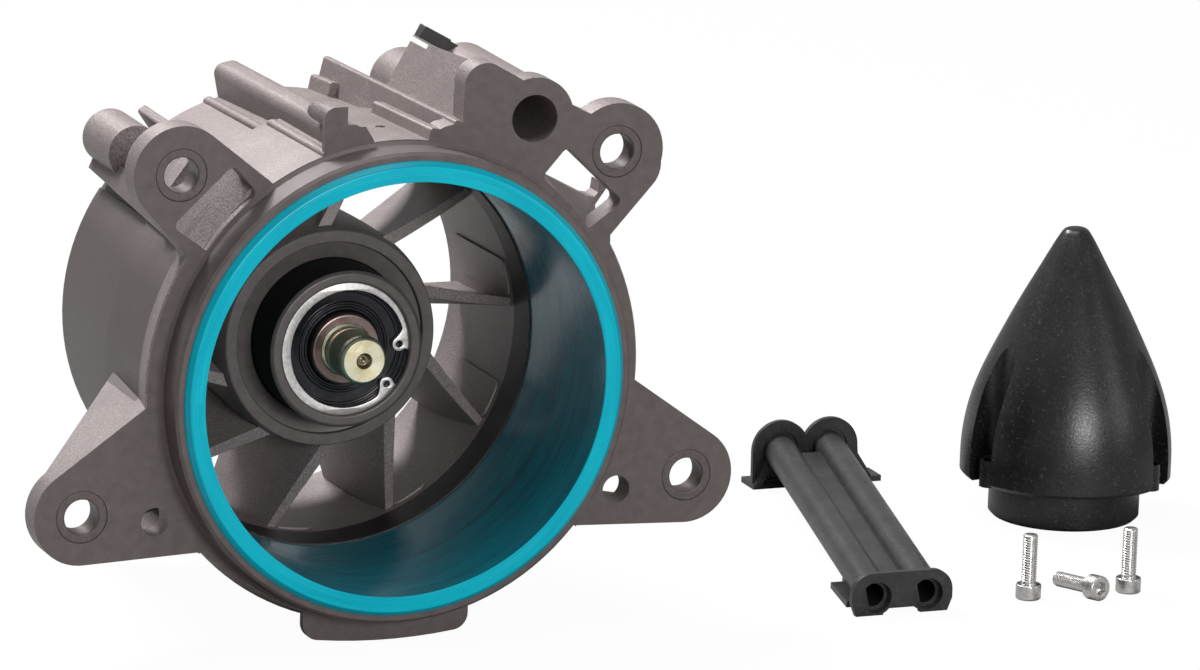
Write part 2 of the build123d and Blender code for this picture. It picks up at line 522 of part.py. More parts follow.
def bearing_spacer():
    return ring(PITCH_R - RACE_HEIGHT, BEARING_BORE_R, FRONT_BEARING_Y + BEARING_W, REAR_BEARING_Y)


def cone_seal_ring():
    profile = Plane.XY * Pos(REGISTER_R - 0.2 + SEAL_WIRE_R, SEAL_Y) * Circle(SEAL_WIRE_R)
    return revolve(profile, axis=Axis.Y)


def impeller_shaft():
    """The pump shaft: threaded nose, seal seat, bearing seats and the head behind the rear bearing."""
    nose = SHAFT_NOSE_Y
    journal = BEARING_BORE_R - SEAT_GAP
    end = REAR_BEARING_Y + BEARING_W
    shaft = turned([(0, nose), (NOSE_FACE_R, nose), (THREAD_R, nose + 1.3), (THREAD_R, nose + 17.0),
                    (SLEEVE_BORE_R - SEAT_GAP - 1.0, nose + 17.6), (SLEEVE_BORE_R - SEAT_GAP - 1.0, SLEEVE_Y - 0.6),
                    (SLEEVE_BORE_R - SEAT_GAP, SLEEVE_Y), (SLEEVE_BORE_R - SEAT_GAP, FRONT_BEARING_Y),
                    (journal, FRONT_BEARING_Y), (journal, end), (HEAD_R - 1, end), (HEAD_R, end + 1),
                    (HEAD_R, end + HEAD_T - 1), (HEAD_R - 1, end + HEAD_T), (0, end + HEAD_T)])
    centre = turned([(0, nose - 1), (3.2, nose - 1), (3.2, nose), (2.0, nose + 2.0), (1.2, nose + 2.0),
                     (1.2, nose + 5.0), (0, nose + 5.6)])
    return shaft - centre


def seal_sleeve():
    return turned([(SLEEVE_BORE_R, SLEEVE_Y), (SLEEVE_R - 0.8, SLEEVE_Y), (SLEEVE_R, SLEEVE_Y + 0.8),
                   (SLEEVE_R, FRONT_BEARING_Y), (SLEEVE_BORE_R, FRONT_BEARING_Y)])


def tail_cone():
    """The tail cone standing on its spigot: dome, hollow inside, three screw recesses down its flank."""
    (x, y), base = CONE_AT, FLOOR_Z
    crest = Spline(*CONE_LINE, tangents=((-0.02, 1), (-1, 0)))
    skirt, spigot = CONE_SKIRT_Z, CONE_SPIGOT_R
    foot_line = Polyline((0, 0), (spigot - 1.4, 0), (spigot, 1.4), (spigot, skirt), (CONE_LINE[0][0] - 1.6, skirt),
                         (CONE_LINE[0][0], skirt + 1.6), CONE_LINE[0])
    body = revolve(Plane.XZ * make_face([foot_line, crest, Line((0, CONE_LINE[-1][1]), (0, 0))]), axis=Axis.Z)
    hollow = Plane.XZ * make_face(Polyline((0, -1), (23.5, -1), (23.5, 44), (18, 70), (7, 96), (0, 99), close=True))
    body -= revolve(hollow, axis=Axis.Z)
    for angle in CONE_HOLES:
        px, py = polar(CONE_HOLE_PCD_R, angle)
        low, high = (Align.CENTER, Align.CENTER, Align.MIN), (Align.CENTER, Align.CENTER, Align.MAX)
        recess = Cylinder(CONE_RECESS_R, 90, align=low)
        recess += Box(20, 2 * CONE_RECESS_R, 90, align=(Align.MIN, Align.CENTER, Align.MIN))
        turn = Rot(0, 0, angle) * Pos(CONE_HOLE_PCD_R, 0, SCREW_SEAT_Z)
        body -= turn * recess
        body -= turn * Box(20, 2 * CONE_RECESS_R, SCREW_SEAT_Z - skirt + 1, align=(Align.MIN, Align.CENTER, Align.MAX))
        body += turn * Pos(0.4, 0, 0) * Cylinder(CONE_TAB_R, SCREW_SEAT_Z - skirt + 0.8, align=high)
        body -= Pos(px, py, skirt) * Cylinder(SCREW_R + 0.3, 40)
    return Pos(x, y, base) * body


def screw():
    """A socket head screw standing on its head, its tip up."""
    low = (Align.CENTER, Align.CENTER, Align.MIN)
    head = Cylinder(SCREW_HEAD_R, SCREW_HEAD_T, align=low)
    head = chamfer(head.edges().group_by(Axis.Z)[0], 0.5)
    shank = Pos(0, 0, SCREW_HEAD_T) * Cylinder(SCREW_R, SCREW_L, align=low)
    shank = chamfer(shank.edges().group_by(Axis.Z)[-1], 0.6)
    socket = extrude(RegularPolygon(HEX_AF / 2, 6, major_radius=False), amount=HEX_DEPTH)
    return head + shank - socket


def cone_screws():
    """The cone's three screws: two stand on their heads, the third lies on its head's rim and its tip."""
    screws = [Pos(x, y, FLOOR_Z) * screw() for x, y in SCREWS_STANDING]
    (hx, hy), (tx, ty) = SCREW_LYING_HEAD, SCREW_LYING_TIP
    length = SCREW_HEAD_T + SCREW_L
    dip = atan2(SCREW_HEAD_R - SCREW_R, length)
    run = length * cos(dip)
    scale = run / sqrt((tx - hx) ** 2 + (ty - hy) ** 2)
    start = Vector(hx, hy, FLOOR_Z + SCREW_HEAD_R * cos(dip) + 0.1)
    axis = Vector((tx - hx) * scale, (ty - hy) * scale, -length * sin(dip)).normalized()
    screws.append(Plane(origin=start, z_dir=axis) * screw())
    return screws


def tube(near, far, r, y0, y1):
    """A straight round bar between two points in X and Z at y0 and y1."""
    a, b = Vector(near[0], y0, near[1]), Vector(far[0], y1, far[1])
    return Plane(origin=a, z_dir=b - a) * Cylinder(r, (b - a).length, align=(Align.CENTER, Align.CENTER, Align.MIN))


def near_flange(y):
    """The adapter's near flange: a plate with round upper corners, cut up between its two sockets."""
    middle = TUBE_NEAR[0] + TUBE_PITCH / 2
    half, top = NEAR_W / 2, FLOOR_Z + NEAR_H
    plate = make_face(Polyline((-half + 2, FLOOR_Z), (-half, FLOOR_Z + 5), (-half, top), (half, top),
                               (half, FLOOR_Z + 5), (half - 2, FLOOR_Z), close=True))
    plate = fillet(plate.vertices().group_by(Axis.Y)[-1], NEAR_CORNER)
    plate -= Pos(0, FLOOR_Z) * Rectangle(TUBE_PITCH - SOCKET_R, 5.0)
    sockets = [rod(TUBE_NEAR[0] + k * TUBE_PITCH, TUBE_NEAR[1], SOCKET_R + SOCKET_WALL, y, y + SOCKET_DEPTH + 1.2)
               for k in (0, 1)]
    return slab(Pos(middle, 0) * plate, y, y + NEAR_T) + sockets


def far_flange(y):
    """The adapter's far flange: two lobes on a foot plate, dished round the tubes."""
    (x, z), pitch = TUBE_FAR, TUBE_PITCH
    left, right = x - LOBE_R, x + pitch + LOBE_R
    plate = make_face(Polyline((left, z), (right, z), (right + 0.3, z - 3.5), (right + 4.6, z - 10),
                               (right + 8.0, FLOOR_Z), (left + 0.2, FLOOR_Z), close=True))
    plate += Pos(x, z) * Circle(LOBE_R) + Pos(x + pitch, z) * Circle(LOBE_R)
    flange = slab(plate, y, y + FAR_T)
    dish = Pos(x, z) * Circle(TUBE_R + 1.1) + Pos(x + pitch, z) * Circle(TUBE_R + 1.1)
    dish += make_face(Polyline((left + 6.0, z + 2), (left + 1.5, z - 6.8), (left + 1.2, z - 12), (x, z - 12), (x, z),
                               close=True))
    flange -= slab(dish, y - 1, y + FAR_T - 1.0)
    web = make_face(Polyline((left + 0.4, FLOOR_Z + 2), (left + 3.6, FLOOR_Z + 2), (x - 1.0, z - 2), (x - 4.6, z - 0.5),
                             close=True))
    flange += slab(web, y - 2.0, y + FAR_T)
    foot_x = (left + 0.2, right + 10.6)
    foot = Pos((foot_x[0] + foot_x[1]) / 2, y - 1.3, FLOOR_Z) * Box(foot_x[1] - foot_x[0], FAR_FOOT, FOOT_T,
                                                                    align=(Align.CENTER, Align.MIN, Align.MIN))
    return flange + foot


def tube_adapter():
    """The twin tube adapter: a flange at each end, two tubes, a web between them and a foot under the left tube."""
    y0, y1 = ADAPTER_NEAR_Y, ADAPTER_FAR_Y
    shift = Vector(TUBE_PITCH, 0)
    tubes = [(TUBE_NEAR, TUBE_FAR), ((TUBE_NEAR[0] + TUBE_PITCH, TUBE_NEAR[1]), (TUBE_FAR[0] + TUBE_PITCH, TUBE_FAR[1]))]
    body = near_flange(y0) + far_flange(y1)
    for near, far in tubes:
        body += tube(near, far, TUBE_R, y0 + 1, y1 + FAR_T - 0.4)
    lean = (TUBE_FAR[0] - TUBE_NEAR[0]) / (y1 - y0)
    climb = (TUBE_FAR[1] - TUBE_NEAR[1]) / (y1 - y0)
    web = [Plane.XZ.offset(-y) * Pos(TUBE_NEAR[0] + TUBE_PITCH / 2 + lean * (y - y0), TUBE_NEAR[1] + climb * (y - y0))
           * Rectangle(TUBE_PITCH, 3.0) for y in (y0 + 1, y1 - 10)]
    body += loft(web)
    foot = make_face(Polyline((190.5, -4.1), (195.7, 23.7), (206.0, 23.7), (200.8, -4.1), close=True))
    body += Pos(0, 0, FLOOR_Z) * extrude(Plane.XY * foot, amount=FOOT_T)
    stand = make_face(Polyline((195.6, -2.0), (200.6, 23.7), (206.0, 23.7), (201.0, -2.0), close=True))
    body += Pos(0, 0, FLOOR_Z) * extrude(Plane.XY * stand, amount=SOCKET_R + SOCKET_WALL)
    for near, far in tubes:
        body -= tube(near, far, TUBE_BORE_R, y0 + SOCKET_DEPTH - 0.5, y1 + 5)
        body -= rod(*near, SOCKET_R, y0 - 1, y0 + SOCKET_DEPTH)
    return body


def save(node, shapes):
    """Writes one node; a list of shapes stays a group of separate solids."""
    solids = []
    for shape in (shapes if isinstance(shapes, (list, tuple)) else [shapes]):
        solids.extend(shape.solids())
    export_step(solids[0] if len(solids) == 1 else Compound(children=solids), f"parts/{node}.step")


save("pump_housing", pump_housing())
save("stator_vanes", stator_vanes())
save("stator_hub", stator_hub())
save("wear_ring", wear_ring())
save("flange_bushes", flange_bushes())
save("tower_cap", tower_cap())
save("retaining_ring", retaining_ring())
save("lip_seal", lip_seal())
save("seal_garter_spring", seal_garter_spring())
save("front_bearing_outer_ring", outer_ring(FRONT_BEARING_Y))
save("rear_bearing_outer_ring", outer_ring(REAR_BEARING_Y))
save("cone_seal_ring", cone_seal_ring())
save("impeller_shaft", impeller_shaft())
save("seal_sleeve", seal_sleeve())
save("front_bearing_inner_ring", inner_ring(FRONT_BEARING_Y))
save("rear_bearing_inner_ring", inner_ring(REAR_BEARING_Y))
save("bearing_spacer", bearing_spacer())
save("front_balls", balls(FRONT_BEARING_Y))
save("front_cage", cage(FRONT_BEARING_Y))
save("rear_balls", balls(REAR_BEARING_Y))
save("rear_cage", cage(REAR_BEARING_Y))
save("tail_cone", tail_cone())
save("cone_screws", cone_screws())
save("tube_adapter", tube_adapter())
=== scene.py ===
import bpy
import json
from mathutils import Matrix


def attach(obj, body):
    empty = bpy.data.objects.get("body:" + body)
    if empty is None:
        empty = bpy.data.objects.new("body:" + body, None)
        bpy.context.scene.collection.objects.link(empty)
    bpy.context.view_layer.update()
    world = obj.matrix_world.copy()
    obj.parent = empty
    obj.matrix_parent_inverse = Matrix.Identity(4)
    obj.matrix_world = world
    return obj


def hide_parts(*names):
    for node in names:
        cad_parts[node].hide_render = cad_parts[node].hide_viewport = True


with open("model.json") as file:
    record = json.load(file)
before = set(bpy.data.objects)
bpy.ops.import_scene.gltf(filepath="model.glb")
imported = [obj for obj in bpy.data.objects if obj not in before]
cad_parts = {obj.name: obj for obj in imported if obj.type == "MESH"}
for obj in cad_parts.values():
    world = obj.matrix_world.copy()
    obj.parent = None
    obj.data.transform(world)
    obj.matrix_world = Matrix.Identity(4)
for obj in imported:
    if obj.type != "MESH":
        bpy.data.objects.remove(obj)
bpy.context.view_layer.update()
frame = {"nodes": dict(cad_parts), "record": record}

import bpy
import bmesh
import json
from math import atan2, cos, pi, radians, sin
from mathutils import Matrix, Vector

scene = bpy.context.scene


# The camera stands where the photograph was taken: far off, a little left of the intake and above it,
# with a long lens. Its place and turn were fitted to circles and holes of known size on the pump.
yaw, pitch, roll = radians(22.2425), radians(13.7732), radians(1.9286)
forward = Vector((sin(yaw) * cos(pitch), cos(yaw) * cos(pitch), -sin(pitch)))
level = Vector((cos(yaw), -sin(yaw), 0.0))
upright = level.cross(forward)
right = level * cos(roll) + upright * sin(roll)
up = upright * cos(roll) - level * sin(roll)
camera = bpy.data.objects.new("camera", bpy.data.cameras.new("camera"))
camera.data.sensor_width = 36.0
camera.data.lens = 255.04
camera.data.clip_end = 20.0
camera_place = Matrix.Translation((-1.10953, -2.92017, 0.78572))
camera.matrix_world = camera_place @ Matrix((right, up, -forward)).transposed().to_4x4()
scene.collection.objects.link(camera)
scene.camera = camera


# The studio is a white paper sweep under four soft boxes: one high behind the pump and one in front, equally
# strong, a broad weak one overhead and a faint one on the right. The sweep shows white to the camera and
# keeps only a soft shadow of the object.
FLOOR_Z = -0.1024
FLOOR_REACH = 6.0
ROOM_LIGHT = 0.08      # what the plain white room throws on the object
MIRROR_SHARE = 0.36    # how much of that white the glossy faces mirror
PAPER_SHARE = 0.93     # how much of the paper's look is even white, so that the rest can hold a shadow


def soft_box(name, place, aim, size, power):
    lamp = bpy.data.lights.new(name, "AREA")
    lamp.shape = "RECTANGLE"
    lamp.size, lamp.size_y = size
    lamp.energy = power
    holder = bpy.data.objects.new(name, lamp)
    holder.location = place
    holder.rotation_euler = (Vector(aim) - Vector(place)).to_track_quat("-Z", "Y").to_euler()
    scene.collection.objects.link(holder)


soft_box("overhead_box", (0.0, -0.05, 1.4), (0.05, 0.05, 0.0), (1.0, 0.9), 9.0)
soft_box("rear_box", (-0.35, 1.0, 1.3), (0.05, 0.0, 0.0), (0.5, 0.45), 34.0)
soft_box("right_box", (1.4, -1.2, 0.5), (0.1, 0.0, 0.0), (0.5, 0.8), 3.0)
soft_box("front_box", (0.1, -2.6, 0.6), (0.05, 0.05, 0.0), (0.9, 0.7), 34.0)


class Value:
    """A number or colour in a node tree, which can be written into sums."""

    def __init__(self, nodes, socket):
        self.nodes, self.socket = nodes, socket

    def of(self, operation, *others):
        inputs = {str(place): value for place, value in enumerate((self,) + others)}
        return self.nodes.node("Math", {"operation": operation}, **inputs)

    def within(self, low, high):
        return (self > low) * (self < high)

    def __add__(self, other):
        return self.of("ADD", other)

    def __sub__(self, other):
        return self.of("SUBTRACT", other)

    def __rsub__(self, other):
        return self.nodes.node("Math", {"operation": "SUBTRACT"}, **{"0": other, "1": self})

    def __mul__(self, other):
        return self.of("MULTIPLY", other)

    def __truediv__(self, other):
        return self.of("DIVIDE", other)

    def __gt__(self, other):
        return self.of("GREATER_THAN", other)

    def __lt__(self, other):
        return self.of("LESS_THAN", other)

    __radd__ = __add__
    __rmul__ = __mul__


class Nodes:
    """A node tree that is filled by one method."""

    def __init__(self, tree):
        self.tree = tree

    def give(self, node, key, value):
        socket = node.inputs[int(key)] if key.isdigit() else node.inputs[key]
        if isinstance(value, Value):
            self.tree.links.new(value.socket, socket)
        elif isinstance(value, tuple) and len(value) == 3 and socket.type == "RGBA":
            socket.default_value = value + (1.0,)
        else:
            socket.default_value = value

    def node(self, kind, settings=None, out=0, **sockets):
        made = self.tree.nodes.new(kind if "Node" in kind else "ShaderNode" + kind)
        for key, value in (settings or {}).items():
            if key == "stops":
                ramp = made.color_ramp
                while len(ramp.elements) < len(value):
                    ramp.elements.new(0.5)
                for element, (at, colour) in zip(ramp.elements, value):
                    element.position, element.color = at, tuple(colour) + (1.0,)
            else:
                setattr(made, key, value)
        for key, value in sockets.items():
            self.give(made, key.replace("_", " "), value)
        return Value(self, made.outputs[out])

    def axes(self, at):
        owner = self.node("SeparateXYZ", Vector=at).socket.node
        return [Value(self, owner.outputs[i]) for i in range(3)]

    def joined(self, x, y, z):
        return self.node("CombineXYZ", X=x, Y=y, Z=z)


world = bpy.data.worlds.new("studio")
scene.world = world
world.use_nodes = True
sky = Nodes(world.node_tree)
seen = sky.node("LightPath", out="Is Camera Ray")
seen = seen.of("MAXIMUM", sky.node("LightPath", out="Is Transmission Ray"))
mirrored = sky.node("LightPath", out="Is Glossy Ray") * MIRROR_SHARE + seen
back = sky.tree.nodes["Background"]
sky.give(back, "Color", (1.0, 1.0, 1.0))
sky.give(back, "Strength", sky.node("MapRange", Value=mirrored, To_Min=ROOM_LIGHT, To_Max=1.0))

sweep = bpy.data.meshes.new("floor")
corners = [(-1, -1), (1, -1), (1, 1), (-1, 1)]
sweep.from_pydata([(FLOOR_REACH * x, FLOOR_REACH * y, FLOOR_Z) for x, y in corners], [], [(0, 1, 2, 3)])
floor = bpy.data.objects.new("floor", sweep)
scene.collection.objects.link(floor)
paper = bpy.data.materials.new("white_sweep")
paper.use_nodes = True
sheet = Nodes(paper.node_tree)
sheet.tree.nodes.remove(sheet.tree.nodes["Principled BSDF"])
matt = sheet.node("BsdfDiffuse", Color=(0.4, 0.4, 0.4))
glow = sheet.node("Emission", Strength=1.04)
share = sheet.node("LightPath", out="Is Camera Ray") * PAPER_SHARE
both = sheet.node("MixShader", **{"0": share, "1": matt, "2": glow})
sheet.give(sheet.tree.nodes["Material Output"], "Surface", both)
sweep.materials.append(paper)


# The pump's outer body is one aluminium casting under a thin taupe coating. Its cast faces keep the grain of
# the mould and shine a little; the flange's face and the spigot are turned and smoother, and their darker colour
# is painted shade. The left of the barrel and the wall behind the ring carry painted shade as well: they are
# coloured darker for the deep shade they lie in.
MERGE = 2e-6                     # corners nearer than this are one
FLAT = 0.6                       # degrees within which faces are one plane
CREASE = 30.0                    # degrees past which an edge is sharp
FLANGE_FACE = 0.0008             # the flange's face lies in front of this Y
SPIGOT = 0.0930, 0.0012          # its radius, and the Y of its root
SHADED_BARREL = 0.083, 0.0985    # the radii between which the barrel's left is in shade
DUCT_WALL = 0.0812               # the duct's wall lies within this radius
BEHIND_RING = 0.0622, 0.0772     # from where to where, in Y, it is in shade behind the ring


class Finish(Nodes):
    """One material: its constants stand on the shader, and what varies is linked to it."""

    def __init__(self, name, **constants):
        self.material = bpy.data.materials.new(name)
        self.material.use_nodes = True
        super().__init__(self.material.node_tree)
        self.shader = self.tree.nodes["Principled BSDF"]
        self.link(**constants)
        self.place = self.node("TexCoord", out="Object")

    def noise(self, scale, detail, rough, at=None):
        return self.node("TexNoise", Vector=at or self.place, Scale=scale, Detail=detail, Roughness=rough)

    def ramp(self, value, *stops):
        return self.node("ValToRGB", {"stops": stops}, Fac=value)

    def span(self, value, low, high, to_low=0.0, to_high=1.0):
        return self.node("MapRange", Value=value, **{"1": low, "2": high, "3": to_low, "4": to_high})

    def blend(self, share, first, second):
        return self.node("Mix", {"data_type": "RGBA"}, out=2, **{"0": share, "6": first, "7": second})

    def radius(self):
        x, y, z = self.axes(self.place)
        return self.node("VectorMath", {"operation": "LENGTH"}, out="Value", **{"0": self.joined(x, 0.0, z)})

    def facing(self):
        """How far a face looks along the shaft: -1 towards the intake, 1 away from it."""
        return self.axes(self.node("NewGeometry", out="True Normal"))[1]

    def bump(self, height, distance, strength):
        return self.node("Bump", Height=height, Distance=distance, Strength=strength)

    def link(self, **inputs):
        for key, value in inputs.items():
            self.give(self.shader, key.replace("_", " "), value)
        return self.material


def plain_mesh(piece):
    """The evaluated mesh in place of the modifiers that made it."""
    bpy.context.view_layer.update()
    made = bpy.data.meshes.new_from_object(piece.evaluated_get(bpy.context.evaluated_depsgraph_get()))
    made.name = piece.name
    piece.modifiers.clear()
    piece.data = made


def rounded(piece, width, angle=CREASE):
    """Edges broken by a small radius, as tumbling, casting or a file leaves them."""
    bevel = piece.modifiers.new("edge", "BEVEL")
    bevel.limit_method = "ANGLE"
    bevel.angle_limit = radians(angle)
    bevel.width = width
    bevel.segments = 2
    bevel.use_clamp_overlap = True
    plain_mesh(piece)


def settled(piece, node, finish=None):
    """Puts a piece in the place of a CAD node, on that node's body."""
    if finish:
        piece.data.materials.clear()
        piece.data.materials.append(finish)
    record = frame["record"]
    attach(piece, next(b for b, names in record["behaviour"]["bodies"].items() if node in names))
    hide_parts(node)
    return piece


def shaded(work, angle):
    for face in work.faces:
        face.smooth = True
    for edge in work.edges:
        edge.smooth = len(edge.link_faces) == 2 and edge.calc_face_angle(0.0) < radians(angle)


def dressed(node, finish, width=0.0):
    """A smooth copy of a CAD node with its edges slightly rounded, which stands for that node."""
    mesh = frame["nodes"][node].data.copy()
    work = bmesh.new()
    work.from_mesh(mesh)
    bmesh.ops.remove_doubles(work, verts=work.verts, dist=MERGE)
    bmesh.ops.dissolve_degenerate(work, dist=MERGE, edges=work.edges)
    bmesh.ops.dissolve_limit(work, angle_limit=radians(FLAT), verts=work.verts, edges=work.edges)
    shaded(work, CREASE)
    work.to_mesh(mesh)
    work.free()
    piece = bpy.data.objects.new(node + "_skin", mesh)
    scene.collection.objects.link(piece)
    if width:
        rounded(piece, width)
    return settled(piece, node, finish)


def cast_finish(name, turned_front_and_shade=True):
    cast = Finish(name, Metallic=0.2, IOR=1.5)
    x, y, z = cast.axes(cast.place)
    radius = cast.radius()
    grain = cast.noise(1500.0, 3.0, 0.65)
    blotch = cast.noise(45.0, 3.0, 0.6)
    dirt = cast.noise(14.0, 4.0, 0.55)
    speck = cast.noise(2600.0, 1.0, 0.5)
    base = cast.ramp(grain, (0.32, (0.152, 0.124, 0.121)), (0.5, (0.262, 0.220, 0.217)),
                     (0.68, (0.415, 0.362, 0.358)))
    base = cast.blend(cast.span(blotch, 0.35, 0.65, 0.0, 0.4), base, (0.176, 0.146, 0.143))
    smooth = cast.noise(220.0, 3.0, 0.6)
    # painted shade: the turned faces are coloured darker than the cast ones, for the dimmer light they face
    turned = cast.ramp(smooth, (0.3, (0.106, 0.086, 0.084)), (0.7, (0.138, 0.114, 0.111)))
    front = (cast.facing() < -0.9) * (y < FLANGE_FACE)
    spigot = (radius < SPIGOT[0]) * (y < SPIGOT[1])
    turned_and_shaded = front.of("MAXIMUM", spigot) if turned_front_and_shade else front * 0.0
    # painted shade: the barrel's left, low down, is coloured darker for the shade it lies in
    left = cast.span(z, 0.075, 0.035) * cast.span(x, 0.0, -0.05)
    painted_barrel_shade = left * radius.within(*SHADED_BARREL) * (y > 0.012)
    base = cast.blend(painted_barrel_shade * 0.8, base, (0.068, 0.052, 0.050))
    colour = cast.blend(turned_and_shaded, base, turned)
    if turned_front_and_shade:
        # painted shade: the duct wall just behind the ring is coloured nearly black
        painted_shade_behind_ring = (radius < DUCT_WALL) * y.within(*BEHIND_RING)
        colour = cast.blend(painted_shade_behind_ring * 0.96, colour, (0.010, 0.008, 0.008))
    rough = cast.span(grain, 0.3, 0.7, 0.36, 0.56)
    rough_turned = cast.span(smooth, 0.3, 0.7, 0.42, 0.52)
    rough = rough + turned_and_shaded * (rough_turned - rough)
    coarse = (grain * 0.7 + speck * 0.3) * (1.0 - turned_and_shaded * 0.85) + dirt * 0.4
    return cast.link(Base_Color=colour, Roughness=rough, Normal=cast.bump(coarse, 0.00022, 0.9))


dressed("pump_housing", cast_finish("taupe_casting"), 0.0007)


# Ten vanes straighten the stream between the hub and the duct wall. They are cast with both, blunt at the
# front and lighter on their lit flanks, with the grain of the mould.
dressed("stator_vanes", cast_finish("stator_casting", turned_front_and_shade=False), 0.0006)


# The hub is the casting's core: a thin shell open to the front, and in it the thick boss that holds the
# bearings. The boss's face and the shell's rim are turned smooth, and their darker colour is painted shade. The
# groove and the cavity round the boss lie in deep shade, which is painted on them nearly black.
TURNED_RADIUS = 0.0412           # inside it the hub is turned
BOSS_GROOVE = 0.0300, 0.0316     # the radii of the groove round the boss
CAVITY = 0.0300, 0.0378          # the radii of the cavity behind the floor
CAVITY_DEPTH = 0.0725, 0.1003    # and its front and back in Y


def hub_finish():
    hub = Finish("hub_casting", Metallic=0.2, IOR=1.5)
    y = hub.axes(hub.place)[1]
    radius = hub.radius()
    grain = hub.noise(1300.0, 3.0, 0.6)
    smooth = hub.noise(260.0, 3.0, 0.6)
    cast = hub.ramp(grain, (0.3, (0.144, 0.119, 0.116)), (0.7, (0.268, 0.229, 0.225)))
    # painted shade: the hub's turned faces are coloured darker than its cast ones
    turned = hub.ramp(smooth, (0.3, (0.112, 0.094, 0.092)), (0.7, (0.146, 0.124, 0.121)))
    inside = (radius < TURNED_RADIUS).of("MAXIMUM", hub.facing() < -0.6)
    colour = hub.blend(inside, cast, turned)
    # painted shade: the groove round the boss and the cavity are coloured nearly black
    groove = radius.within(*BOSS_GROOVE) * (y > 0.0500)
    painted_pit_shade = groove.of("MAXIMUM", radius.within(*CAVITY) * y.within(*CAVITY_DEPTH))
    colour = hub.blend(painted_pit_shade, colour, (0.003, 0.003, 0.003))
    rings = hub.noise(1.0, 2.0, 0.5, at=hub.joined(radius * 3000.0, y * 3000.0, 0.0))
    return hub.link(Base_Color=colour, Roughness=hub.span(grain, 0.3, 0.7, 0.36, 0.50) + painted_pit_shade * 0.45,
                    Normal=hub.bump(grain * (1.0 - inside * 0.85) + rings * inside * 0.12, 0.00016, 0.8))


hub = dressed("stator_hub", hub_finish(), 0.0005)


# The wear ring is a turned plastic liner pressed into the duct, with a chamfered lip at its mouth. The tool
# has left fine rings round its bore, and rubbing has left it glossy in bands. The bore and the chamfer are
# coloured a darker teal than the lip's face: painted shade.
def lathe(name, rows, count, about="Y"):
    """A closed mesh turned about the shaft axis, or about Z. A row is a radius and a height in millimetres;
    a radius may be a rule that gives it from the angle."""
    work = bmesh.new()
    rims = []
    for radius, height in rows:
        rim = []
        for k in range(count if radius else 1):
            angle = 2.0 * pi * k / count
            r = (radius(angle) if callable(radius) else radius) / 1000.0
            side, rise, along = r * cos(angle), r * sin(angle), height / 1000.0
            rim.append(work.verts.new((side, along, rise) if about == "Y" else (side, rise, along)))
        rims.append(rim)
    for first, second in zip(rims, rims[1:] + (rims[:1] if rows[0][0] else [])):
        for k in range(count):
            corners = {v: None for v in (first[k % len(first)], first[(k + 1) % len(first)],
                                         second[(k + 1) % len(second)], second[k % len(second)])}
            if len(corners) > 2:
                work.faces.new(list(corners))
    bmesh.ops.recalc_face_normals(work, faces=work.faces)
    shaded(work, 28.0)
    mesh = bpy.data.meshes.new(name)
    work.to_mesh(mesh)
    work.free()
    piece = bpy.data.objects.new(name, mesh)
    scene.collection.objects.link(piece)
    return piece


BORE_SIDE = 0.0816, -0.0174      # the bore lies within this radius and behind this Y
LIP_SIDE = 0.0862                # streaks stay within this radius
CHAMFER_SIDE = 0.08645           # and the chamfer lies outside this one


def teal_finish():
    teal = Finish("teal_plastic", IOR=1.5, Specular_IOR_Level=0.22, Coat_Roughness=0.12)
    x, y, z = teal.axes(teal.place)
    radius = teal.radius()
    around = z.of("ARCTAN2", x)
    bore = (radius < BORE_SIDE[0]) * (y > BORE_SIDE[1])
    marks = teal.noise(1.0, 2.0, 0.6, at=teal.joined(y * 2600.0, radius * 2600.0, around * 1.3))
    cloud = teal.noise(1.0, 3.0, 0.6, at=teal.joined(y * 160.0, radius * 300.0, around * 2.4))
    bright = teal.ramp(cloud, (0.3, (0.000, 0.450, 0.590)), (0.7, (0.002, 0.550, 0.700)))
    streak = teal.span(marks, 0.62, 0.72, 0.0, 0.35) * (radius < LIP_SIDE)
    bright = teal.blend(streak, bright, (0.14, 0.66, 0.76))
    # painted shade: the outer chamfer is coloured darker
    bright = teal.blend((radius > CHAMFER_SIDE) * 0.5, bright, (0.000, 0.190, 0.250))
    # painted shade: the bore is coloured a darker teal than the lip
    bore_shade_colour = teal.ramp(cloud, (0.3, (0.000, 0.170, 0.240)), (0.7, (0.002, 0.270, 0.350)))
    colour = teal.blend(bore, bright, bore_shade_colour)
    return teal.link(Base_Color=colour, Roughness=teal.span(marks, 0.3, 0.7, 0.18, 0.36),
                     Coat_Weight=bore * 0.2, Normal=teal.bump(marks, 0.00004, 0.7))


ring = lathe("wear_ring_liner", [(80.5, -17.8), (86.4, -17.8), (88.3, -15.9), (88.3, 63.0), (81.2, 63.0),
                                 (81.2, 28.7), (80.5, 28.0)], 400)
rounded(ring, 0.0004, 28.0)
settled(ring, "wear_ring", teal_finish())


# The floor between the boss and the hub's shell lies just inside the rim, turned with a shallow cone. It is
# one metal with the hub.
ledge = lathe("hub_floor", [(31.1, 70.6), (32.4, 70.2), (37.4, 69.8), (38.1, 69.6), (38.1, 72.0),
                            (31.1, 72.0)], 200)
rounded(ledge, 0.0003, 28.0)
ledge.data.materials.append(hub.data.materials[0])
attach(ledge, "casing")


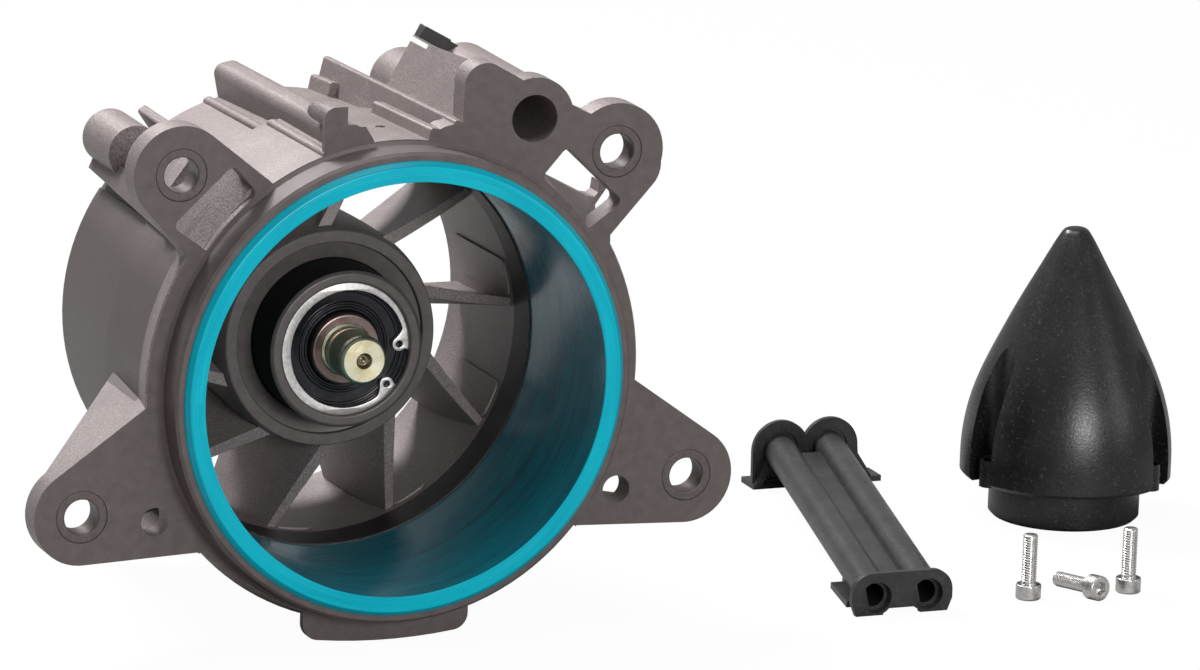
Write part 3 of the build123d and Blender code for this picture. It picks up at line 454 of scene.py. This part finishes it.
# Each lug eye carries a steel bush, pressed in flush and coated with the casting, and coloured a little darker
# than it: painted shade, as on the flange's turned face. Its rim is broken, so that a fine groove shows where the
# two meet.
bush_finish = Finish("coated_bush", Metallic=0.4, IOR=1.5)
fine = bush_finish.noise(500.0, 3.0, 0.6)
bush_finish.link(Base_Color=bush_finish.ramp(fine, (0.3, (0.104, 0.085, 0.083)), (0.7, (0.140, 0.116, 0.113))),
                 Roughness=bush_finish.span(fine, 0.3, 0.7, 0.34, 0.5),
                 Normal=bush_finish.bump(fine, 0.00005, 0.6))
dressed("flange_bushes", bush_finish.material, 0.0005)


# The bar on the tower is moulded black plastic, matt with a fine grain.
def grained_black(name, grain=900.0, low=0.010, high=0.030, rough=(0.42, 0.62), depth=0.00008, scuff=0.0):
    black = Finish(name, IOR=1.5)
    tooth = black.noise(grain, 3.0, 0.6)
    wear = black.noise(60.0, 4.0, 0.6)
    colour = black.ramp(wear, (0.3, (low, low, low * 1.02)), (0.7, (high, high * 0.99, high * 0.98)))
    dust = black.span(black.noise(grain * 0.6, 2.0, 0.7), 0.60, 0.74, 0.0, scuff)
    colour = black.blend(dust, colour, (0.16, 0.15, 0.148))
    return black.link(Base_Color=colour, Roughness=black.span(tooth, 0.3, 0.7, *rough),
                      Normal=black.bump(tooth + wear * 0.6, depth, 0.8))


dressed("tower_cap", grained_black("cap_plastic"), 0.0004)


# A spring steel circlip snaps into a groove in the boss and holds the seal. It is punched from bright strip
# and rounded by tumbling. Its sizes are in millimetres.
def steel_finish(name, dark, light, rough):
    steel = Finish(name, Metallic=1.0)
    scratch = steel.noise(700.0, 3.0, 0.6)
    return steel.link(Base_Color=steel.ramp(scratch, (0.3, dark), (0.7, light)),
                      Roughness=steel.span(scratch, 0.3, 0.7, *rough), Normal=steel.bump(scratch, 0.00003, 0.6))


bright_steel = steel_finish("bright_steel", (0.56, 0.55, 0.54), (0.74, 0.73, 0.71), (0.22, 0.36))
strip_steel = steel_finish("circlip_steel", (0.62, 0.60, 0.59), (0.80, 0.78, 0.77), (0.34, 0.46))
EARS = ((22.3, 0.3), (17.5, -15.3))
EAR_RADIUS = 2.85
EYE_RADIUS = 1.3
OUTER_RADIUS = 27.1
INNER_MIDDLE = (1.22, -0.44)
INNER_RADIUS = 23.2
WAIST_RADIUS = 24.5
WAIST_TURN = 12.6
STRIP = (51.0, 53.0)


def arc(x, z, radius, first, last, step):
    turns = max(1, round(abs(last - first) / step))
    angles = [radians(first + (last - first) * k / turns) for k in range(turns + 1)]
    return [(x + radius * cos(a), z + radius * sin(a)) for a in angles]


def bend(first, middle, last, steps=6):
    shares = [k / steps for k in range(1, steps)]
    return [tuple(a * (1 - t) ** 2 + 2 * b * t * (1 - t) + c * t * t for a, b, c in zip(first, middle, last))
            for t in shares]


def circlip_outline():
    """The strip's outline in millimetres: round the outside, round one eye, back along the inside, which lies
    off the middle so that the strip is widest across from its gap, and round the other eye."""
    lower, upper = [180.0 / pi * atan2(z, x) for x, z in reversed(EARS)]
    outside = arc(0, 0, OUTER_RADIUS, upper - 6.0, 360.0 + lower + 6.0, 2)
    low_eye = arc(*EARS[1], EAR_RADIUS, lower + 45.0, lower + 235.0, 12)
    inside = arc(*INNER_MIDDLE, INNER_RADIUS, 360.0 + lower - 18.0, upper + 18.0, 3)
    high_eye = arc(*EARS[0], EAR_RADIUS, upper + 125.0, upper + 315.0, 12)
    low_waist, high_waist = [(WAIST_RADIUS * cos(radians(a)), WAIST_RADIUS * sin(radians(a)))
                             for a in (lower - WAIST_TURN, upper + WAIST_TURN)]
    return (outside + low_eye + bend(low_eye[-1], low_waist, inside[0]) + inside
            + bend(inside[-1], high_waist, high_eye[0]) + high_eye)


def flat_piece(name, outline, holes, y0, y1, edge):
    """A flat plate from an outline, round holes and two Y, in millimetres. The radius of its edges is in metres."""
    curve = bpy.data.curves.new(name, "CURVE")
    curve.dimensions = "2D"
    curve.fill_mode = "BOTH"
    turns = [2 * pi * k / 24 for k in range(24)]
    loops = [outline] + [[(x + r * cos(turn), z + r * sin(turn)) for turn in turns] for x, z, r in holes]
    for loop in loops:
        spline = curve.splines.new("POLY")
        spline.points.add(len(loop) - 1)
        for point, (x, z) in zip(spline.points, loop):
            point.co = (x / 1000.0, z / 1000.0, 0.0, 1.0)
        spline.use_cyclic_u = True
    curve.extrude = (y1 - y0) / 2000.0 - edge
    curve.bevel_depth = edge
    curve.bevel_resolution = 2
    curve.offset = -edge
    drawn = bpy.data.objects.new(name + "_curve", curve)
    scene.collection.objects.link(drawn)
    bpy.context.view_layer.update()
    mesh = bpy.data.meshes.new_from_object(drawn.evaluated_get(bpy.context.evaluated_depsgraph_get()))
    bpy.data.objects.remove(drawn)
    mesh.transform(Matrix.Translation((0.0, (y0 + y1) / 2000.0, 0.0)) @ Matrix.Rotation(radians(90.0), 4, "X"))
    work = bmesh.new()
    work.from_mesh(mesh)
    bmesh.ops.remove_doubles(work, verts=work.verts, dist=MERGE)
    bmesh.ops.recalc_face_normals(work, faces=work.faces)
    shaded(work, 40.0)
    work.to_mesh(mesh)
    work.free()
    piece = bpy.data.objects.new(name, mesh)
    scene.collection.objects.link(piece)
    return piece


circlip = flat_piece("circlip", circlip_outline(), [(x, z, EYE_RADIUS) for x, z in EARS], *STRIP, 0.00025)
settled(circlip, "retaining_ring", strip_steel)


# The shaft seal is black rubber over a steel case, with moulded ridges on its face and a lip on the sleeve.
# A coil spring sits behind the lip.
rubber = Finish("seal_rubber", IOR=1.5)
oily = rubber.noise(120.0, 3.0, 0.5)
rubber.link(Base_Color=rubber.ramp(oily, (0.3, (0.006, 0.006, 0.008)), (0.7, (0.016, 0.017, 0.022))),
            Roughness=rubber.span(oily, 0.3, 0.7, 0.14, 0.28), Normal=rubber.bump(oily, 0.00008, 0.5))
seal = lathe("shaft_seal", [(26.0, 53.0), (26.0, 61.0), (24.2, 61.0), (24.2, 55.2), (17.85, 55.2),
                            (16.65, 56.6), (16.65, 59.4), (15.85, 59.4), (14.25, 58.0), (15.15, 55.4),
                            (14.25, 53.8), (14.95, 53.0), (15.6, 53.0), (15.9, 53.7), (16.7, 53.8),
                            (17.0, 53.1), (17.7, 53.1), (18.1, 53.9), (21.7, 53.5), (22.1, 53.0),
                            (22.8, 53.0), (23.1, 53.6), (23.6, 53.6), (23.9, 53.0)], 200)
rounded(seal, 0.00015, 20.0)
settled(seal, "lip_seal", rubber.material)
dressed("seal_garter_spring", bright_steel)


# The bearings are ordinary deep groove ones in bright steel, with a tube that keeps their inner rings apart.
# Nine balls run in each, kept evenly apart by a brass cage.
class Recipe(Nodes):
    """One geometry tree with named inputs, which ends as a real mesh with its material."""

    def __init__(self, name, **inputs):
        super().__init__(bpy.data.node_groups.new(name, "GeometryNodeTree"))
        self.tree.interface.new_socket("Geometry", in_out="OUTPUT", socket_type="NodeSocketGeometry")
        self.inlets = {}
        for key, kind in inputs.items():
            made = self.tree.interface.new_socket(key.replace("_", " "), in_out="INPUT",
                                                  socket_type="NodeSocket" + kind)
            self.inlets[key] = made.identifier
        self.start = self.tree.nodes.new("NodeGroupInput")

    def inlet(self, key):
        return Value(self, self.start.outputs[key.replace("_", " ")])

    def close(self, shape, finish):
        real = self.node("GeometryNodeRealizeInstances", Geometry=shape)
        coated = self.node("GeometryNodeSetMaterial", Geometry=real, Material=finish)
        end = self.tree.nodes.new("NodeGroupOutput")
        self.tree.links.new(coated.socket, end.inputs["Geometry"])
        return self

    def made(self, name, base=None, **values):
        piece = bpy.data.objects.new(name, base or bpy.data.meshes.new(name))
        scene.collection.objects.link(piece)
        modifier = piece.modifiers.new("recipe", "NODES")
        modifier.node_group = self.tree
        for key, value in values.items():
            modifier[self.inlets[key]] = value
        plain_mesh(piece)
        return piece


for node in ("front_bearing_outer_ring", "rear_bearing_outer_ring", "front_bearing_inner_ring",
             "rear_bearing_inner_ring", "bearing_spacer"):
    dressed(node, bright_steel)

ball_row = Recipe("ball_row", Count="Int", Pitch_Radius="Float", Ball_Radius="Float", Middle="Float")
circle = ball_row.node("GeometryNodeMeshCircle", Vertices=ball_row.inlet("Count"),
                       Radius=ball_row.inlet("Pitch_Radius"))
circle = ball_row.node("GeometryNodeTransform", Geometry=circle, Rotation=(radians(90.0), 0.0, 0.0),
                       Translation=ball_row.joined(0.0, ball_row.inlet("Middle"), 0.0))
ball = ball_row.node("GeometryNodeMeshUVSphere", Segments=32, Rings=16, Radius=ball_row.inlet("Ball_Radius"))
ball = ball_row.node("GeometryNodeSetShadeSmooth", Geometry=ball)
ball_row.close(ball_row.node("GeometryNodeInstanceOnPoints", Points=circle, Instance=ball), bright_steel)
for node, middle in (("front_balls", 0.0685), ("rear_balls", 0.1115)):
    balls = ball_row.made(node + "_row", Count=9, Pitch_Radius=0.01925, Ball_Radius=0.00397, Middle=middle)
    settled(balls, node)

brass = Finish("cage_brass", Metallic=1.0)
worn = brass.noise(300.0, 3.0, 0.6)
brass.link(Base_Color=brass.ramp(worn, (0.3, (0.50, 0.36, 0.14)), (0.7, (0.68, 0.50, 0.22))),
           Roughness=brass.span(worn, 0.3, 0.7, 0.28, 0.45), Normal=brass.bump(worn, 0.00003, 0.5))
for node in ("front_cage", "rear_cage"):
    dressed(node, brass.material)


# The pump shaft is turned steel with a yellow zinc coat. Its nose has a centre drilling, and carries a fine
# thread for the impeller between two plain collars. The thread is coloured a darker olive and less metallic
# than the rest, and the drilling is coloured darker, which is painted shade.
THREAD_RADII = 0.0080, 0.0096    # the thread's flanks lie between these radii
THREAD_LENGTH = 0.0335, 0.0438   # and between these Y
DRILLING = 0.0031, 0.0296        # the drilling lies within this radius and behind this Y
NOSE_FACE = 0.0303               # the nose's face lies in front of this Y


def zinc_finish():
    zinc = Finish("yellow_zinc", IOR=1.5)
    y = zinc.axes(zinc.place)[1]
    radius = zinc.radius()
    rings = zinc.noise(1.0, 2.0, 0.5, at=zinc.joined(radius * 5200.0, 0.0, 0.0))
    tint = zinc.noise(180.0, 3.0, 0.6)
    colour = zinc.ramp(tint, (0.3, (0.66, 0.59, 0.34)), (0.5, (0.82, 0.77, 0.55)), (0.7, (0.90, 0.87, 0.70)))
    # the thread's band is coloured darker and less metallic
    thread_band = radius.within(*THREAD_RADII) * y.within(*THREAD_LENGTH)
    colour = zinc.blend(thread_band * 0.7, colour, (0.105, 0.090, 0.045))
    # painted shade: the centre drilling is coloured darker
    drilling_shade = (radius < DRILLING[0]) * (y > DRILLING[1])
    colour = zinc.blend(drilling_shade * 0.8, colour, (0.17, 0.14, 0.10))
    rough = zinc.span(rings, 0.3, 0.7, 0.16, 0.34) + (y < NOSE_FACE) * 0.18
    return zinc.link(Base_Color=colour, Roughness=rough,
                     Metallic=1.0 - thread_band * 0.5, Normal=zinc.bump(rings, 0.00008, 0.8))


def thread_recipe(name, finish):
    thread = Recipe(name, Major_Radius="Float", Pitch="Float", Depth="Float", Length="Float", Tip="Float")
    major, pitch, depth, length, tip = [thread.inlet(key) for key in thread.inlets]
    bar = thread.node("GeometryNodeMeshCylinder", Vertices=72, Side_Segments=length / pitch * 10.0,
                      Radius=major, Depth=length)
    x, y, z = thread.axes(thread.node("GeometryNodeInputPosition"))
    turn = y.of("ARCTAN2", x) / (2.0 * pi)
    groove = (z / pitch + turn).of("PINGPONG", 0.5) * 2.0
    runout = ((length * 0.5 - z.of("ABSOLUTE")) / pitch).of("MINIMUM", 1.0)
    radius = (major - depth * groove * runout).of("MINIMUM", major - tip + (length * 0.5 - z))
    scale = radius / major
    bar = thread.node("GeometryNodeSetPosition", Geometry=bar, Position=thread.joined(x * scale, y * scale, z))
    bar = thread.node("GeometryNodeSetShadeSmooth", Geometry=bar)
    return thread.close(bar, finish)


yellow_zinc = zinc_finish()
shaft = lathe("pump_shaft", [(0.0, 35.1), (1.2, 34.5), (1.2, 31.5), (2.0, 31.5), (3.2, 29.5), (8.2, 29.5),
                             (9.45, 30.8), (9.45, 33.4), (8.7, 33.9), (8.7, 43.0), (9.45, 43.6), (9.45, 46.5),
                             (9.18, 47.1), (9.18, 48.7), (10.18, 49.3), (10.18, 61.0), (12.48, 61.0),
                             (12.48, 119.0), (15.5, 119.0), (16.5, 120.0), (16.5, 124.0), (15.5, 125.0),
                             (0.0, 125.0)], 160)
rounded(shaft, 0.0001, 28.0)
settled(shaft, "impeller_shaft", yellow_zinc)
nose_thread = thread_recipe("nose_thread", yellow_zinc).made(
    "shaft_thread", Major_Radius=0.00943, Pitch=0.0015, Depth=0.0007, Length=0.0104, Tip=0.0)
nose_thread.data.transform(Matrix.Translation((0.0, 0.0385, 0.0)) @ Matrix.Rotation(radians(-90.0), 4, "X"))
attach(nose_thread, "rotor")


# The seal runs on a hard sleeve, ground and tinted brown and blue by heat.
sleeve_finish = Finish("tinted_sleeve", Metallic=1.0)
heat = sleeve_finish.noise(90.0, 2.0, 0.5)
sleeve_finish.link(Base_Color=sleeve_finish.ramp(heat, (0.3, (0.20, 0.15, 0.14)), (0.55, (0.30, 0.22, 0.20)),
                                                 (0.7, (0.20, 0.19, 0.30))),
                   Roughness=sleeve_finish.span(heat, 0.3, 0.7, 0.28, 0.40),
                   Normal=sleeve_finish.bump(heat, 0.00003, 0.4))
dressed("seal_sleeve", sleeve_finish.material, 0.0003)


# An O-ring in the hub's rear seat seals the tail cone.
dressed("cone_seal_ring", rubber.material)


# The tail cone is moulded in black plastic with a fine spark-eroded grain, and scuffed by sand.
cone_plastic = grained_black("cone_plastic", grain=1100.0, low=0.004, high=0.013, rough=(0.23, 0.37),
                             depth=0.00012, scuff=0.35)
dressed("tail_cone", cone_plastic, 0.0006)


# Three stainless socket head screws hold the cone on the hub: a rolled M6 thread under a round head with a
# hexagon socket. Two stand on their heads, and the third lies on its head's rim and its tip.
HALF_KEY = 2.5                   # half the width across the socket's flats, in millimetres
SCREW_SPOTS = (0.2653, -0.0105), (0.3079, -0.0119), (0.2912, -0.0220)
LYING_TIP = (0.2829, 0.0066)     # where the lying screw's tip points, seen from above
HEAD_RIM, SCREW_REACH = 0.002, 0.026    # the rim stands this far out from the thread, this far from the tip


def hexagon(angle):
    return HALF_KEY / cos((angle + pi / 6.0) % (pi / 3.0) - pi / 6.0)


stainless = steel_finish("stainless", (0.52, 0.51, 0.50), (0.74, 0.73, 0.72), (0.22, 0.34))
one_screw = lathe("one_screw", [(0.0, 3.6), (hexagon, 3.0), (hexagon, 0.0), (4.5, 0.0), (5.0, 0.5), (5.0, 5.7),
                                (4.7, 6.0), (2.9, 6.0), (2.9, 7.0), (0.0, 7.0)], 72, about="Z")
rounded(one_screw, 0.00012, 28.0)
screw_thread = thread_recipe("screw_thread", stainless).made(
    "screw_thread", Major_Radius=0.003, Pitch=0.001, Depth=0.00055, Length=0.0204, Tip=0.0006)
screw_thread.data.transform(Matrix.Translation((0.0, 0.0, 0.0158)))
join = bmesh.new()
join.from_mesh(one_screw.data)
join.from_mesh(screw_thread.data)
join.to_mesh(one_screw.data)
join.free()
bpy.data.objects.remove(screw_thread)

dip = atan2(HEAD_RIM, SCREW_REACH)
level_lie = Vector((LYING_TIP[0] - SCREW_SPOTS[2][0], LYING_TIP[1] - SCREW_SPOTS[2][1], 0.0)).normalized()
lie = level_lie * cos(dip) + Vector((0.0, 0.0, -sin(dip)))
heights = FLOOR_Z, FLOOR_Z, FLOOR_Z + 0.005 * cos(dip) + 0.0001
places = bpy.data.meshes.new("screw_places")
places.from_pydata([spot + (height,) for spot, height in zip(SCREW_SPOTS, heights)], [], [])
turns = places.attributes.new("turn", "FLOAT_VECTOR", "POINT")
lying_turn = tuple(lie.to_track_quat("Z", "Y").to_euler())
for index, turn in enumerate(((0.0, 0.0, 0.4), (0.0, 0.0, 1.1), lying_turn)):
    turns.data[index].vector = turn
screw_set = Recipe("screw_set", Geometry="Geometry", Screw="Object")
screw = screw_set.node("GeometryNodeObjectInfo", out="Geometry", Object=screw_set.inlet("Screw"))
spin = screw_set.node("GeometryNodeInputNamedAttribute", {"data_type": "FLOAT_VECTOR"}, Name="turn")
spin = screw_set.node("FunctionNodeEulerToRotation", Euler=spin)
laid = screw_set.node("GeometryNodeInstanceOnPoints", Points=screw_set.inlet("Geometry"), Instance=screw,
                      Rotation=spin)
screw_set.close(laid, stainless)
screws = screw_set.made("three_screws", places, Screw=one_screw)
bpy.data.objects.remove(one_screw)
settled(screws, "cone_screws")


# The twin-tube adapter is one black moulding: two tubes, a web between them and a flange at each end.
adapter_plastic = grained_black("adapter_plastic", grain=800.0, low=0.014, high=0.036, rough=(0.28, 0.44),
                                depth=0.00008, scuff=0.2)
dressed("tube_adapter", adapter_plastic, 0.0005)


scene.view_settings.view_transform = "Standard"
